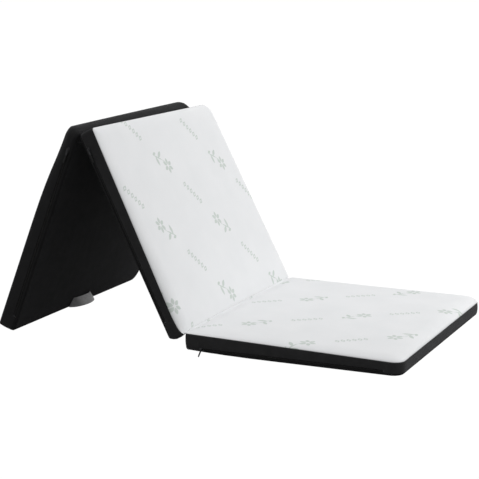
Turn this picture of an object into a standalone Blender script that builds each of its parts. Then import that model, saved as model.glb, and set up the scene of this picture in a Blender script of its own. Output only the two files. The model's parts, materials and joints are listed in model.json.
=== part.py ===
"""Folding foam mattress: three covered panels in a row, the first flat and the other two standing as a tent.

Metres, +Z up. The origin is the middle of the first panel's underside, +X runs along that panel away from its
fold, and -Y is the near side, which holds the zips. Each panel is modelled as it lies unfolded, white side up,
with x from 0 to PANEL_PITCH along the mattress, y from the near side and z from the underside. It hangs on an
empty at its fold, which turns it into place.
"""

import math
from collections import namedtuple

import bmesh
import bpy

# Driving sizes
PANEL_PITCH = 0.635
PANEL_WIDTH = 0.787
CORNER_RADIUS = 0.045
FOLD_CORNER_RADIUS = 0.008
RIDGE_CORNER_RADIUS = 0.010
FOOT_CORNER_RADIUS = 0.014
RIDGE_FAR_RADIUS = 0.030
RIDGE_DRAW = 0.024
SEAM_HEIGHT = 0.0495
CROWN_HEIGHT = 0.0065
CROWN_REACH = 0.050
BOTTOM_RADIUS = 0.008
COVER = 0.0012
GAP = 0.0003
OVERRUN = 0.002
SMALLEST_CORNER = 0.003
CREASE_LEVEL = 0.060

# How the mattress stands: the middle panel's turn up from flat, in degrees
MIDDLE_TURN = 62.45

# Tapes that join the panels at the folds
FOLD_TAPE = 0.0008
WHITE_TAPE_DEPTH = 0.014
BLACK_TAPE_REACH = 0.030
BLACK_FOLD_CLEARANCE = 0.0005

# Zip along the foot of each panel's near side
ZIP_TAPE = 0.0006
ZIP_TAPE_WIDTH = 0.012
ZIP_TAPE_LAP = 0.0008
COIL_WIDTH = 0.005
COIL_PROUD = 0.0004
COIL_ROUNDING = 0.0005
STOP_LENGTH = 0.003
STOP_SIDE = 0.0006
SLIDER_LENGTH = 0.011
SLIDER_PLATE = 0.0014
SLIDER_FLANGE = 0.001
SLIDER_GRIP = 0.0016
SLIDER_LIP = 0.0007
SLIDER_CLEARANCE = 0.0004
SLIDER_PARK = 0.0005
ARCH_HALF_OPENING = 0.0015
ARCH_LEG = 0.0012
ARCH_HEIGHT = 0.0024
ARCH_ROOF = 0.0009
ARCH_HALF_WIDTH = 0.0015
PULL_BAR = 0.0014
PULL_SIDE_CLEARANCE = 0.0004
PULL_ARM = 0.0012
PULL_WINDOW = 0.0044
PULL_LENGTH = 0.014
TAIL_LENGTH = 0.024
TAIL_WIDTH = 0.005
TAIL_THICKNESS = 0.0024
TAIL_FLOOR_CLEARANCE = 0.0006
PULL_ANGLES = {"a": 10.0, "b": 88.0, "c": -88.0}

# Carry handle at the foot of the third panel
HANDLE_SPAN = 0.141
HANDLE_BULGE = 0.032
HANDLE_LEAN_SHARE = 0.3
STRAP_WIDTH = 0.030
STRAP_THICKNESS = 0.0016
STRAP_FLOOR_CLEARANCE = 0.0003
HANDLE_AXIS_HEIGHT = 0.0006

# Counts and shares that shape the curves
CORNER_STEPS = 5
BOTTOM_STEPS = 4
HANDLE_STEPS = 14
CROWN_SHARES = (0.0, 0.14, 0.36, 0.66, 1.0)
CREASE_SHARES = (0.15, 0.4, 1.0)

# Follow-on sizes
TOP_HEIGHT = SEAM_HEIGHT + GAP + COVER + CROWN_HEIGHT
WHITE_AXIS_HEIGHT = TOP_HEIGHT + GAP
BLACK_AXIS_DROP = GAP + FOLD_TAPE + GAP / 2
WHITE_FOLD_CLEARANCE = GAP / 2 + FOLD_TAPE + GAP
ZIP_SLOT = COIL_WIDTH + 2 * (SLIDER_CLEARANCE + SLIDER_FLANGE + SLIDER_CLEARANCE)
ZIP_HEIGHT = BOTTOM_RADIUS + GAP + ZIP_SLOT / 2
FOAM_SETBACK = GAP + ZIP_TAPE
PIVOT_OUT = COIL_PROUD + SLIDER_CLEARANCE + SLIDER_PLATE + ARCH_HEIGHT / 2
PULL_HALF_WIDTH = ARCH_HALF_WIDTH + PULL_SIDE_CLEARANCE + PULL_ARM
TAIL_REACH = PULL_LENGTH + GAP + TAIL_LENGTH

# crease and ridge say which end is at the white fold and which at the dark one
Panel = namedtuple("Panel", "name low high crease ridge")
PANELS = (
    Panel("a", WHITE_FOLD_CLEARANCE, PANEL_PITCH, "low", None),
    Panel("b", BLACK_FOLD_CLEARANCE, PANEL_PITCH - WHITE_FOLD_CLEARANCE, "high", "low"),
    Panel("c", 0.0, PANEL_PITCH - BLACK_FOLD_CLEARANCE, None, "high"),
)


def clear_scene():
    for obj in list(bpy.data.objects):
        bpy.data.objects.remove(obj, do_unlink=True)


def new_collection(name):
    collection = bpy.data.collections.new(name)
    bpy.context.scene.collection.children.link(collection)
    return collection


def material(name, color, roughness, metallic=0.0):
    made = bpy.data.materials.new(name)
    made.use_nodes = True
    shader = made.node_tree.nodes["Principled BSDF"]
    shader.inputs["Base Color"].default_value = (*color, 1.0)
    shader.inputs["Roughness"].default_value = roughness
    shader.inputs["Metallic"].default_value = metallic
    return made


def finishes():
    return {
        "knit": material("white_knit", (0.76, 0.78, 0.79), 0.9),
        "dark_fabric": material("dark_fabric", (0.012, 0.012, 0.013), 0.95),
        "foam": material("foam", (0.82, 0.78, 0.62), 1.0),
        "zip_tape": material("zip_tape", (0.010, 0.010, 0.010), 0.9),
        "zip_coil": material("zip_coil", (0.014, 0.014, 0.014), 0.45),
        "zip_metal": material("zip_metal", (0.09, 0.09, 0.095), 0.35, 1.0),
        "pull_tail": material("pull_tail", (0.010, 0.010, 0.010), 0.85),
        "webbing": material("webbing", (0.11, 0.11, 0.11), 0.85),
    }


def place(obj, parent, location=(0.0, 0.0, 0.0), rotation=(0.0, 0.0, 0.0)):
    obj.parent = parent
    obj.location = location
    obj.rotation_euler = rotation
    return obj


def empty(name, collection, parent, location, rotation=(0.0, 0.0, 0.0)):
    made = bpy.data.objects.new(name, None)
    collection.objects.link(made)
    return place(made, parent, location, rotation)


def mesh_object(name, bm, collection, finish=None, smooth=True):
    """An object from a bmesh, which is freed, with its faces turned outwards"""
    bmesh.ops.recalc_face_normals(bm, faces=bm.faces)
    mesh = bpy.data.meshes.new(name)
    bm.to_mesh(mesh)
    bm.free()
    if smooth:
        mesh.shade_smooth()
        mesh.set_sharp_from_angle(angle=math.radians(40))
    obj = bpy.data.objects.new(name, mesh)
    collection.objects.link(obj)
    if finish:
        mesh.materials.append(finish)
    return obj


def box(name, low, high, collection, finish=None, rounding=0.0):
    """A box between two corners, with rounded edges if rounding is given"""
    bm = bmesh.new()
    bmesh.ops.create_cube(bm, size=1.0)
    for vert in bm.verts:
        for axis in range(3):
            middle = (low[axis] + high[axis]) / 2
            vert.co[axis] = middle + vert.co[axis] * (high[axis] - low[axis])
    obj = mesh_object(name, bm, collection, finish)
    if rounding:
        bevel = obj.modifiers.new("rounding", "BEVEL")
        bevel.width = rounding
        bevel.segments = 2
    return obj


def slab(name, outlines, half_depth, collection, finish=None):
    """A flat plate: closed outlines in x and y, the later ones holes, thickened both ways along z"""
    curve = bpy.data.curves.new(name, "CURVE")
    curve.dimensions = "2D"
    curve.fill_mode = "BOTH"
    curve.extrude = half_depth
    for outline in outlines:
        spline = curve.splines.new("POLY")
        spline.points.add(len(outline) - 1)
        spline.use_cyclic_u = True
        for point, (x, y) in zip(spline.points, outline):
            point.co = (x, y, 0.0, 1.0)
    obj = bpy.data.objects.new(name, curve)
    collection.objects.link(obj)
    if finish:
        curve.materials.append(finish)
    return obj


def to_mesh_object(obj, collection):
    """A curve object turned into a welded mesh object in its place"""
    bpy.context.view_layer.update()
    graph = bpy.context.evaluated_depsgraph_get()
    mesh = bpy.data.meshes.new_from_object(obj.evaluated_get(graph))
    bm = bmesh.new()
    bm.from_mesh(mesh)
    bmesh.ops.remove_doubles(bm, verts=bm.verts, dist=GAP / 100)
    bmesh.ops.recalc_face_normals(bm, faces=bm.faces)
    bm.to_mesh(mesh)
    bm.free()
    made = bpy.data.objects.new(obj.name + "_mesh", mesh)
    collection.objects.link(made)
    made.matrix_world = obj.matrix_world
    bpy.data.objects.remove(obj, do_unlink=True)
    return made


def boolean(target, other, operation):
    """Cuts or joins target with a helper, which is kept as a wire that isn't rendered"""
    modifier = target.modifiers.new(other.name, "BOOLEAN")
    modifier.operation = operation
    modifier.object = other
    modifier.solver = "EXACT"
    other.hide_render = True
    other.display_type = "WIRE"


def loft(name, rings, joined, collection, finish):
    """Skin over loops of equal count: joined end to start, or closed by a cap at each end"""
    bm = bmesh.new()
    loops = [[bm.verts.new(point) for point in ring] for ring in rings]
    count = len(loops[0])
    pairs = list(zip(loops, loops[1:]))
    if joined:
        pairs.append((loops[-1], loops[0]))
    else:
        bm.faces.new(loops[0])
        bm.faces.new(loops[-1])
    for lower, upper in pairs:
        for i in range(count):
            bm.faces.new((lower[i], lower[i - 1], upper[i - 1], upper[i]))
    return mesh_object(name, bm, collection, finish)


def corner_radius(panel, end, side):
    """Radius of one corner of a panel's plan"""
    if end == panel.crease:
        return FOLD_CORNER_RADIUS
    if end == panel.ridge and side == "near":
        return RIDGE_CORNER_RADIUS
    if panel.name == "c" and side == "near":
        return FOOT_CORNER_RADIUS
    if panel.name == "c" and end == "high":
        return RIDGE_FAR_RADIUS
    return CORNER_RADIUS


def outline(panel, inset, near=0.0):
    """Points round a panel's plan, set in by inset: (x, y, which end of the panel)"""
    corners = (
        ("low", "near", 180),
        ("high", "near", 270),
        ("high", "far", 0),
        ("low", "far", 90),
    )
    points = []
    for end, side, first in corners:
        radius = max(corner_radius(panel, end, side) - inset, SMALLEST_CORNER)
        x = panel.low + inset + radius if end == "low" else panel.high - inset - radius
        y = near + inset + radius if side == "near" else PANEL_WIDTH - inset - radius
        arc = []
        for step in range(CORNER_STEPS + 1):
            angle = math.radians(first + 90 * step / CORNER_STEPS)
            arc.append((x + radius * math.cos(angle), y + radius * math.sin(angle), end))
        climb = climb_points(arc, end, side) if end == panel.crease else []
        leads = (end == "high") != (side == "near")
        points += climb + arc if leads else arc + climb
    return points


def climb_points(arc, end, side):
    """Points on a crease between a corner and where the crown is level, in the order of the outline"""
    near = side == "near"
    x, y, _ = min(arc, key=lambda point: point[0]) if end == "low" else max(arc, key=lambda point: point[0])
    level = CREASE_LEVEL if near else PANEL_WIDTH - CREASE_LEVEL
    points = [(x, y + (level - y) * share, end) for share in CREASE_SHARES]
    rising = (end == "high") == near
    return points if rising else points[::-1]


def near_draw(panel, x, y):
    """How far a point is drawn in: most at the near side's end at the dark fold, and none at the far side"""
    if panel.ridge is None:
        return 0.0
    along = x / PANEL_PITCH if panel.ridge == "high" else 1 - x / PANEL_PITCH
    return RIDGE_DRAW * along * (1 - y / PANEL_WIDTH)


def draw_in(panel, obj):
    """Moves a piece's points with the panel's near side"""
    for vert in obj.data.vertices:
        vert.co.y += near_draw(panel, vert.co.x, vert.co.y)
    return obj


def crown_rise(inset, y, creased):
    """How far the knit stands above its seam: it climbs in from a seam and stays up along a crease"""
    away = min(y, PANEL_WIDTH - y) if creased else inset
    short = 1 - min(away / CROWN_REACH, 1)
    return CROWN_HEIGHT * (1 - short**3)


def flat_ring(panel, inset, height, near=0.0):
    return [(x, y, height) for x, y, _ in outline(panel, inset, near)]


def crowned_ring(panel, inset, seam, height, near=0.0):
    """A loop at inset, lifted as the crown is at the depth called seam"""
    ring = []
    for x, y, end in outline(panel, inset, near):
        ring.append((x, y, height + crown_rise(seam, y, end == panel.crease)))
    return ring


def knit_top(panel, collection, finish):
    """The white knit: a crowned sheet whose edge stands on the border"""
    insets = [share * CROWN_REACH for share in CROWN_SHARES]
    underneath = SEAM_HEIGHT + GAP
    rings = [crowned_ring(panel, inset, inset, underneath + COVER) for inset in reversed(insets)]
    rings += [crowned_ring(panel, inset, inset, underneath) for inset in insets]
    return loft("knit_top_" + panel.name, rings, False, collection, finish)


def bottom_arc(skin):
    """(inset, height) down the rounded bottom edge, at a depth of skin inside the cover"""
    radius = BOTTOM_RADIUS - skin
    points = []
    for step in range(BOTTOM_STEPS + 1):
        angle = math.radians(90 * step / BOTTOM_STEPS)
        points.append((BOTTOM_RADIUS - radius * math.sin(angle), BOTTOM_RADIUS - radius * math.cos(angle)))
    return points


def underside(panel, collection, finish):
    """The dark base cloth: a shallow tray with a rounded rim"""
    rings = [flat_ring(panel, inset, height) for inset, height in bottom_arc(0.0)]
    rings += [flat_ring(panel, inset, height) for inset, height in reversed(bottom_arc(COVER))]
    return loft("underside_" + panel.name, rings, False, collection, finish)


def side_border(panel, collection, cutters, finish):
    """The dark band round the sides, slotted at its foot for the zip"""
    foot = BOTTOM_RADIUS + GAP
    rings = [
        flat_ring(panel, 0.0, foot),
        crowned_ring(panel, 0.0, 0.0, SEAM_HEIGHT),
        crowned_ring(panel, COVER, 0.0, SEAM_HEIGHT),
        flat_ring(panel, COVER, foot),
    ]
    band = loft("side_border_" + panel.name, rings, True, collection, finish)
    start, end = zip_span(panel)
    slot = box(
        "zip_slot_" + panel.name,
        (start - GAP, -OVERRUN, foot - OVERRUN),
        (end + GAP, COVER + OVERRUN, foot + ZIP_SLOT),
        cutters,
    )
    boolean(band, slot, "DIFFERENCE")
    return band, slot


def foam_core(panel, collection, finish):
    """The foam block, which fills the cover and keeps clear of the zip's tapes"""
    skin = COVER + GAP
    rings = [flat_ring(panel, inset, height, FOAM_SETBACK) for inset, height in bottom_arc(skin)]
    for share in CROWN_SHARES:
        inset = skin + share * (CROWN_REACH - skin)
        rings.append(crowned_ring(panel, inset, share * CROWN_REACH, SEAM_HEIGHT, FOAM_SETBACK))
    return loft("foam_core_" + panel.name, rings, False, collection, finish)


def zip_span(panel):
    """Where a panel's zip starts and ends along x: the straight run of its near side"""
    return panel.low + CORNER_RADIUS, panel.high - CORNER_RADIUS


def zip_tapes(panel, collection, finish):
    start, end = zip_span(panel)
    front = COVER + GAP
    upper = box(
        "zip_tape_upper_" + panel.name,
        (start, front, ZIP_HEIGHT + GAP / 2),
        (end, front + ZIP_TAPE, ZIP_HEIGHT + ZIP_TAPE_WIDTH),
        collection,
        finish,
    )
    lower = box(
        "zip_tape_lower_" + panel.name,
        (start, front, BOTTOM_RADIUS - ZIP_TAPE_LAP),
        (end, front + ZIP_TAPE, ZIP_HEIGHT - GAP / 2),
        collection,
        finish,
    )
    return upper, lower


def zip_coil(panel, collection, finish):
    start, end = zip_span(panel)
    return box(
        "zip_coil_" + panel.name,
        (start + STOP_LENGTH + GAP, -COIL_PROUD, ZIP_HEIGHT - COIL_WIDTH / 2),
        (end - STOP_LENGTH - GAP, COVER, ZIP_HEIGHT + COIL_WIDTH / 2),
        collection,
        finish,
        COIL_ROUNDING,
    )


def zip_stops(panel, collection, finish):
    start, end = zip_span(panel)
    reach = COIL_WIDTH / 2 + STOP_SIDE
    stops = []
    for label, low in (("low", start), ("high", end - STOP_LENGTH)):
        stop = box(
            "zip_stop_" + label + "_" + panel.name,
            (low, -STOP_SIDE, ZIP_HEIGHT - reach),
            (low + STOP_LENGTH, COVER, ZIP_HEIGHT + reach),
            collection,
            finish,
        )
        stops.append(stop)
    return stops


def parked_at(panel):
    """Where the slider waits along x: beside the stop at the fold that shows in use"""
    start, end = zip_span(panel)
    from_end = STOP_LENGTH + GAP + SLIDER_PARK + SLIDER_LENGTH / 2
    return end - from_end if panel.name == "c" else start + from_end


def slider_mesh(cutters):
    """The slider's shape, centred on the zip: a channel over the coil, with an arch for the pull"""
    back = COIL_PROUD + SLIDER_CLEARANCE
    front = back + SLIDER_PLATE
    inner = COIL_WIDTH / 2 + SLIDER_CLEARANCE
    outer = inner + SLIDER_FLANGE
    lip = outer + SLIDER_LIP
    hook = SLIDER_GRIP - back
    channel = (
        (-lip, -front),
        (lip, -front),
        (lip, -back),
        (outer, -back),
        (outer, hook),
        (inner, hook),
        (inner, -back),
        (-inner, -back),
        (-inner, hook),
        (-outer, hook),
        (-outer, -back),
        (-lip, -back),
    )
    body = slab("slider_channel", (channel,), SLIDER_LENGTH / 2, cutters)
    body.rotation_euler = (0.0, -math.pi / 2, 0.0)
    roof = front + ARCH_HEIGHT
    leg = ARCH_HALF_OPENING + ARCH_LEG
    root = back + SLIDER_PLATE / 2
    arch_outline = (
        (-leg, -root),
        (-leg, -roof - ARCH_ROOF),
        (leg, -roof - ARCH_ROOF),
        (leg, -root),
        (ARCH_HALF_OPENING, -root),
        (ARCH_HALF_OPENING, -roof),
        (-ARCH_HALF_OPENING, -roof),
        (-ARCH_HALF_OPENING, -root),
    )
    arch = slab("slider_arch", (arch_outline,), ARCH_HALF_WIDTH, cutters)
    body = to_mesh_object(body, cutters)
    arch = to_mesh_object(arch, cutters)
    boolean(body, arch, "UNION")
    bpy.context.view_layer.update()
    graph = bpy.context.evaluated_depsgraph_get()
    mesh = bpy.data.meshes.new_from_object(body.evaluated_get(graph))
    mesh.transform(body.matrix_world)
    mesh.name = "zip_slider"
    bpy.data.objects.remove(body, do_unlink=True)
    bpy.data.objects.remove(arch, do_unlink=True)
    return mesh


def pull_curve(name, collection, finish):
    """The pull's metal tab, standing straight out: a plate with a window, whose end bar sits in the arch"""
    half = PULL_HALF_WIDTH
    back = PULL_BAR / 2
    window = ARCH_HALF_WIDTH + PULL_SIDE_CLEARANCE
    taper = half - PULL_ARM / 2
    tab = (
        (back, -half),
        (back, half),
        (-PULL_WINDOW, half),
        (-PULL_LENGTH, taper),
        (-PULL_LENGTH, -taper),
        (-PULL_WINDOW, -half),
    )
    hole = ((-back, -window), (-back, window), (-PULL_WINDOW, window), (-PULL_WINDOW, -window))
    return slab(name, (tab, hole), PULL_BAR / 2, collection, finish)


def tail_curve(name, droop, collection, finish):
    """The pull's cloth tail: a flat strip with a cut-off tip, which droops by the height given"""
    half = TAIL_WIDTH / 2
    start = PULL_LENGTH + GAP
    tip = TAIL_REACH - half
    bend = droop * (tip - start) / TAIL_LENGTH
    strip = (
        (-start, -half),
        (-start, half),
        (-tip, half - bend),
        (-TAIL_REACH, half / 2 - droop),
        (-TAIL_REACH, -half / 2 - droop),
        (-tip, -half - bend),
    )
    return slab(name, (strip,), TAIL_THICKNESS / 2, collection, finish)


def zip_fittings(panel, frame, mesh, collection, finish):
    """A slider on its own empty, which slides, and the pull on another at the arch, which swings"""
    name = panel.name
    parked = parked_at(panel)
    drawn = near_draw(panel, parked, 0.0)
    heading = math.atan2(near_draw(panel, PANEL_PITCH, 0.0) - near_draw(panel, 0.0, 0.0), PANEL_PITCH)
    carriage = empty("slide_" + name, collection, frame, (parked, drawn, ZIP_HEIGHT), (0.0, 0.0, heading))
    slider = bpy.data.objects.new("zip_slider_" + name, mesh)
    collection.objects.link(slider)
    place(slider, carriage)
    turn = math.radians(PULL_ANGLES[name])
    pivot = empty("pivot_" + name, collection, carriage, (0.0, -PIVOT_OUT, 0.0), (0.0, 0.0, turn))
    pull = pull_curve("zip_pull_" + name, collection, finish["zip_metal"])
    droop = ZIP_HEIGHT - TAIL_WIDTH / 2 - TAIL_FLOOR_CLEARANCE if name == "a" else 0.0
    tail = tail_curve("pull_tail_" + name, droop, collection, finish["pull_tail"])
    stand = (math.pi / 2, 0.0, math.pi / 2)
    place(pull, pivot, rotation=stand)
    place(tail, pivot, rotation=stand)


def white_fold_tapes(frames, collection, finish):
    """The two seam tapes that stand between the end faces at the white crease"""
    near = CORNER_RADIUS
    far = PANEL_WIDTH - CORNER_RADIUS
    low = TOP_HEIGHT - WHITE_TAPE_DEPTH
    first = GAP / 2
    second = PANEL_PITCH - GAP / 2 - FOLD_TAPE
    for name, start in (("a", first), ("b", second)):
        tape = box(
            "fold_tape_white_" + name,
            (start, near, low),
            (start + FOLD_TAPE, far, TOP_HEIGHT),
            collection,
            finish,
        )
        place(tape, frames[name])


def black_fold_tapes(frames, collection, finish):
    """The two halves of the tape sewn under the panels at the dark fold"""
    near = CORNER_RADIUS
    far = PANEL_WIDTH - CORNER_RADIUS
    spans = {
        "b": (GAP / 2, BLACK_TAPE_REACH),
        "c": (PANEL_PITCH - BLACK_TAPE_REACH, PANEL_PITCH - GAP / 2),
    }
    for name, (start, end) in spans.items():
        tape = box(
            "fold_tape_black_" + name,
            (start, near, -GAP - FOLD_TAPE),
            (end, far, -GAP),
            collection,
            finish,
        )
        place(tape, frames[name])


def third_turn():
    """The third panel's turn from flat, in radians, that sets its rounded foot on the floor"""
    turn = math.radians(MIDDLE_TURN)
    drop = WHITE_AXIS_HEIGHT + BLACK_AXIS_DROP
    peak = WHITE_AXIS_HEIGHT + PANEL_PITCH * math.sin(turn) - drop * math.cos(turn)
    along = BOTTOM_RADIUS - PANEL_PITCH
    up = BOTTOM_RADIUS + BLACK_AXIS_DROP
    reach = math.hypot(along, up)
    phase = math.atan2(-up, along)
    return -math.pi - math.asin((peak - BOTTOM_RADIUS) / reach) - phase


def body_frames(collection):
    """The empties that carry the panels: the first panel's corner, and each fold's axis"""
    middle = math.radians(MIDDLE_TURN)
    third = third_turn()
    root = empty("stand_a", collection, None, (-PANEL_PITCH / 2, -PANEL_WIDTH / 2, 0.0))
    fold_white = empty(
        "fold_white", collection, root, (0.0, 0.0, WHITE_AXIS_HEIGHT), (0.0, middle, 0.0)
    )
    fold_black = empty(
        "fold_black",
        collection,
        fold_white,
        (-PANEL_PITCH, 0.0, -WHITE_AXIS_HEIGHT - BLACK_AXIS_DROP),
        (0.0, third - middle, 0.0),
    )
    return {
        "a": root,
        "b": empty("stand_b", collection, fold_white, (-PANEL_PITCH, 0.0, -WHITE_AXIS_HEIGHT)),
        "c": empty("stand_c", collection, fold_black, (-PANEL_PITCH, 0.0, BLACK_AXIS_DROP)),
    }


def carry_handle(frame, collection, finish):
    """A webbing loop at the foot: its lower edge bows out on the floor and its upper edge leans back"""
    lean = -third_turn()
    slope = 1 / math.tan(lean)
    rim = BOTTOM_RADIUS * (1 - math.cos(lean)) / math.sin(lean)
    rings = []
    for step in range(HANDLE_STEPS + 1):
        angle = math.pi * step / HANDLE_STEPS
        ring = []
        for height, share in ((STRAP_FLOOR_CLEARANCE, 1.0), (STRAP_WIDTH, HANDLE_LEAN_SHARE)):
            bow = HANDLE_BULGE * share
            x = GAP / math.sin(lean) + height * slope + bow * math.sin(angle)
            y = -math.cos(angle) * HANDLE_SPAN / 2
            across = math.sin(angle) * HANDLE_SPAN / 2
            along = -math.cos(angle) * bow
            length = math.hypot(across, along)
            outer = (
                x + STRAP_THICKNESS * across / length,
                y + STRAP_THICKNESS * along / length,
                height - HANDLE_AXIS_HEIGHT,
            )
            inner = (x, y, height - HANDLE_AXIS_HEIGHT)
            ring += [inner, outer] if height < STRAP_WIDTH else [outer, inner]
        rings.append(ring)
    centre_x = BOTTOM_RADIUS
    centre_z = BOTTOM_RADIUS
    right = rim
    down = HANDLE_AXIS_HEIGHT - BOTTOM_RADIUS
    local_x = centre_x + right * math.cos(lean) + down * math.sin(lean)
    local_z = centre_z - right * math.sin(lean) + down * math.cos(lean)
    pivot = empty(
        "handle_pivot", collection, frame, (local_x, PANEL_WIDTH / 2, local_z), (0.0, lean, 0.0)
    )
    strap = loft("carry_handle", rings, False, collection, finish)
    return place(strap, pivot)


def build():
    clear_scene()
    parts = new_collection("folding_mattress")
    cutters = new_collection("cutters")
    finish = finishes()
    frames = body_frames(parts)
    slider = slider_mesh(cutters)
    slider.materials.append(finish["zip_metal"])
    for panel in PANELS:
        frame = frames[panel.name]
        pieces = [
            foam_core(panel, parts, finish["foam"]),
            knit_top(panel, parts, finish["knit"]),
            underside(panel, parts, finish["dark_fabric"]),
            *side_border(panel, parts, cutters, finish["dark_fabric"]),
            *zip_tapes(panel, parts, finish["zip_tape"]),
            zip_coil(panel, parts, finish["zip_coil"]),
            *zip_stops(panel, parts, finish["zip_metal"]),
        ]
        for piece in pieces:
            place(draw_in(panel, piece), frame)
        zip_fittings(panel, frame, slider, parts, finish)
    white_fold_tapes(frames, parts, finish["knit"])
    black_fold_tapes(frames, parts, finish["dark_fabric"])
    carry_handle(frames["c"], parts, finish["webbing"])


build()
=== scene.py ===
"""Looks of the folding mattress: fine covers with their print, folds, zips, webbing, studio and camera.

Each panel is made as it lies unfolded, white side up, in its own frame in metres: x along the mattress, y
from the near side and z from the underside. An object's matrix then stands it where its CAD body is.
"""

import json
import math
from collections import namedtuple

import bmesh
import bpy
import numpy as np
from mathutils import Matrix, Vector

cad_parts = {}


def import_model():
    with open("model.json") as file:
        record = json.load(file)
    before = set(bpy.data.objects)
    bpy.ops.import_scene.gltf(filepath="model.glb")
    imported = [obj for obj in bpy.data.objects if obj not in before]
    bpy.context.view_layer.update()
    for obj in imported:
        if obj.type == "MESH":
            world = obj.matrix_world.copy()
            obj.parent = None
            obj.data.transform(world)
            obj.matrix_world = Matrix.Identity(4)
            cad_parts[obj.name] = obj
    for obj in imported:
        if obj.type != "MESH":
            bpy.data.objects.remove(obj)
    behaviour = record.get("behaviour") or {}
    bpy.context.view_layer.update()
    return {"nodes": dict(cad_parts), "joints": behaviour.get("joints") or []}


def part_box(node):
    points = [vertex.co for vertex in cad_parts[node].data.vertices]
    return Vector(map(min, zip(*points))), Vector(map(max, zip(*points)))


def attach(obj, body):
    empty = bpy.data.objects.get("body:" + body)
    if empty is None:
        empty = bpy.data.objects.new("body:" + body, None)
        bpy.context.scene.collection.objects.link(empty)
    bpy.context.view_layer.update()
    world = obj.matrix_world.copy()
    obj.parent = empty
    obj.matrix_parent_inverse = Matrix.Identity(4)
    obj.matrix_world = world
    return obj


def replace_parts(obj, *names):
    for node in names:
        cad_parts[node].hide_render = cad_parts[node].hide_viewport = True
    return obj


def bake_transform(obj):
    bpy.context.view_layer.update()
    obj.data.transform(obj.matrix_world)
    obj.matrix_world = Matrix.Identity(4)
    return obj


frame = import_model()

# Joints and sizes from the frame
JOINTS = {joint["name"]: joint for joint in frame["joints"]}
WHITE_PIVOT = JOINTS["fold_white"]["pos_m"]
BLACK_PIVOT = JOINTS["fold_black"]["pos_m"]
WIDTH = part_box("knit_top_a")[1].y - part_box("knit_top_a")[0].y
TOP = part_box("knit_top_a")[1].z

# Length of a panel with its gaps, and an end's share of the gap at the white fold and at the dark one
PITCH = 0.635
WHITE_GAP = 0.00125
BLACK_GAP = 0.0005

# How far the dark fold's axis lies below the undersides
BLACK_DROP = 0.00125

# Thickness of the cover's cloth, and how its pieces lap and tuck in at the seams
CLOTH = 0.0010
LAP = 0.0003
HEAD_DROP = 0.0003
FOOT_LAP = 0.0005
SEAM_TUCK = 0.0012

# Radii of the plan's corners
CORNER = 0.045
NEAR_END_CORNER = 0.032
FOOT_CORNER = 0.008
FOLD_CORNER = 0.007
RIDGE_CORNER = 0.010
RIDGE_NEAR_CORNER = 0.025
RIDGE_FAR_CORNER = 0.030

# How far the near sides are drawn in at the dark fold
RIDGE_DRAW = 0.024

# Height of the white seam, and the crown's fall to it: its reach, its soft share and the power of the rest
SEAM = 0.0500
CROWN_REACH = 0.055
CROWN_SOFT = 0.72
CROWN_POWER = 12

# Depth and reach of the valley at the white crease, and the share of it that is lost at the open edges
VALLEY = 0.0050
VALLEY_REACH = 0.045
VALLEY_LOSS = 0.32

# Radii of the underside's rim, everywhere and at the middle panel's end on the crease
RIM = 0.008
CREASE_RIM = 0.012

# Waves of the fixed unevenness: their pace along x and y, and their phase
RIPPLES = ((11.0, 7.3, 0.4), (23.0, -17.0, 1.9), (5.0, 31.0, 3.1), (41.0, 13.0, 5.2))

# How uneven the tops and each panel's underside are
TOP_RIPPLE = 0.0006
BASE_RIPPLE = {"a": 0.0003, "b": 0.0008, "c": 0.0008}

# How far the foam lies inside the cover
FOAM_INSET = 0.0026

# Distances of the mesh rows from an edge, and the step between the rows farther in
EDGE_STEPS = (0.0, 0.0010, 0.0022, 0.0040, 0.0065, 0.0095, 0.013, 0.018, 0.026, 0.035, 0.0444, 0.045)
GRID_STEP = 0.0125

# Places closer than this are the same
SAME = 1e-6

# How the white seam wanders at each corner, at low and high x on the near side, then on the far side
WANDER = {
    "a": (0.0035, -0.0118, 0.0045, -0.0100),
    "b": (0.0000, -0.0120, 0.0000, 0.0000),
    "c": (0.0020, 0.0000, 0.0000, 0.0020),
}

# How the third panel's seam leans back and sinks towards the dark fold's near end
LEAN = 0.026
LEAN_DIP = 0.004
LEAN_REACH = 0.135

# How far the dark band bulges at the sides, and how uneven that is
SIDE_BULGE = 0.0012
BULGE_RIPPLE = 0.35

# Shares of the dark band's height at which it has rows, of which the first and the last are tucked in
BAND_SHARES = (0.0, 0.0, 0.05, 0.14, 0.3, 0.5, 0.7, 0.86, 0.95, 1.0, 1.0)

# How far the ends bulge at low and high x, and how far the middle panel's is pulled in at the dark fold
BULGES = {"a": (0.0012, 0.0016), "b": (0.0012, 0.0030), "c": (0.0012, 0.0056)}
END_PULL = (0.0020, 0.0080)
END_PULL_REACH = 0.12

# How far the other panels' high ends stand out past their zips
END_STRETCH = {"a": 0.0024, "c": 0.0023}
END_STRETCH_REACH = 0.044

# How far the first panel's near corner at the crease stands off the floor, and how round its edge is there
CORNER_LIFT = 0.0080
CORNER_LIFT_REACH = 0.30
LIFTED_RIM = 0.0125

# How the first panel's top sinks towards its near side with the seam
DROOP_SHARE = 0.8
DROOP_REACH = 0.28

# How the dark border climbs at the middle panel's near corner on the crease
TONGUE = 0.0205
TONGUE_REACH = 0.0150

# How that corner sags out and down, the share of this at the floor, and the height where all of it is felt
SAG_OUT = 0.0085
SAG_DOWN = 0.0042
SAG_REACH = (0.022, 0.036)
SAG_FOOT = 0.6
SAG_FULL = 0.015

# Stitch sizes, in metres, and their place up the dark band
STITCH_PITCH = 0.0042
STITCH_LENGTH = 0.0030
STITCH_WIDE = 0.00045
STITCH_SHARE = 0.93

# A stitch's rings, each with its place along the stitch and its width, how flat they are, and their points
STITCH_RINGS = ((-0.5, 0.35), (-0.3, 1.0), (0.3, 1.0), (0.5, 0.35))
STITCH_FLAT = 0.8
STITCH_SIDES = 4

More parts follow.
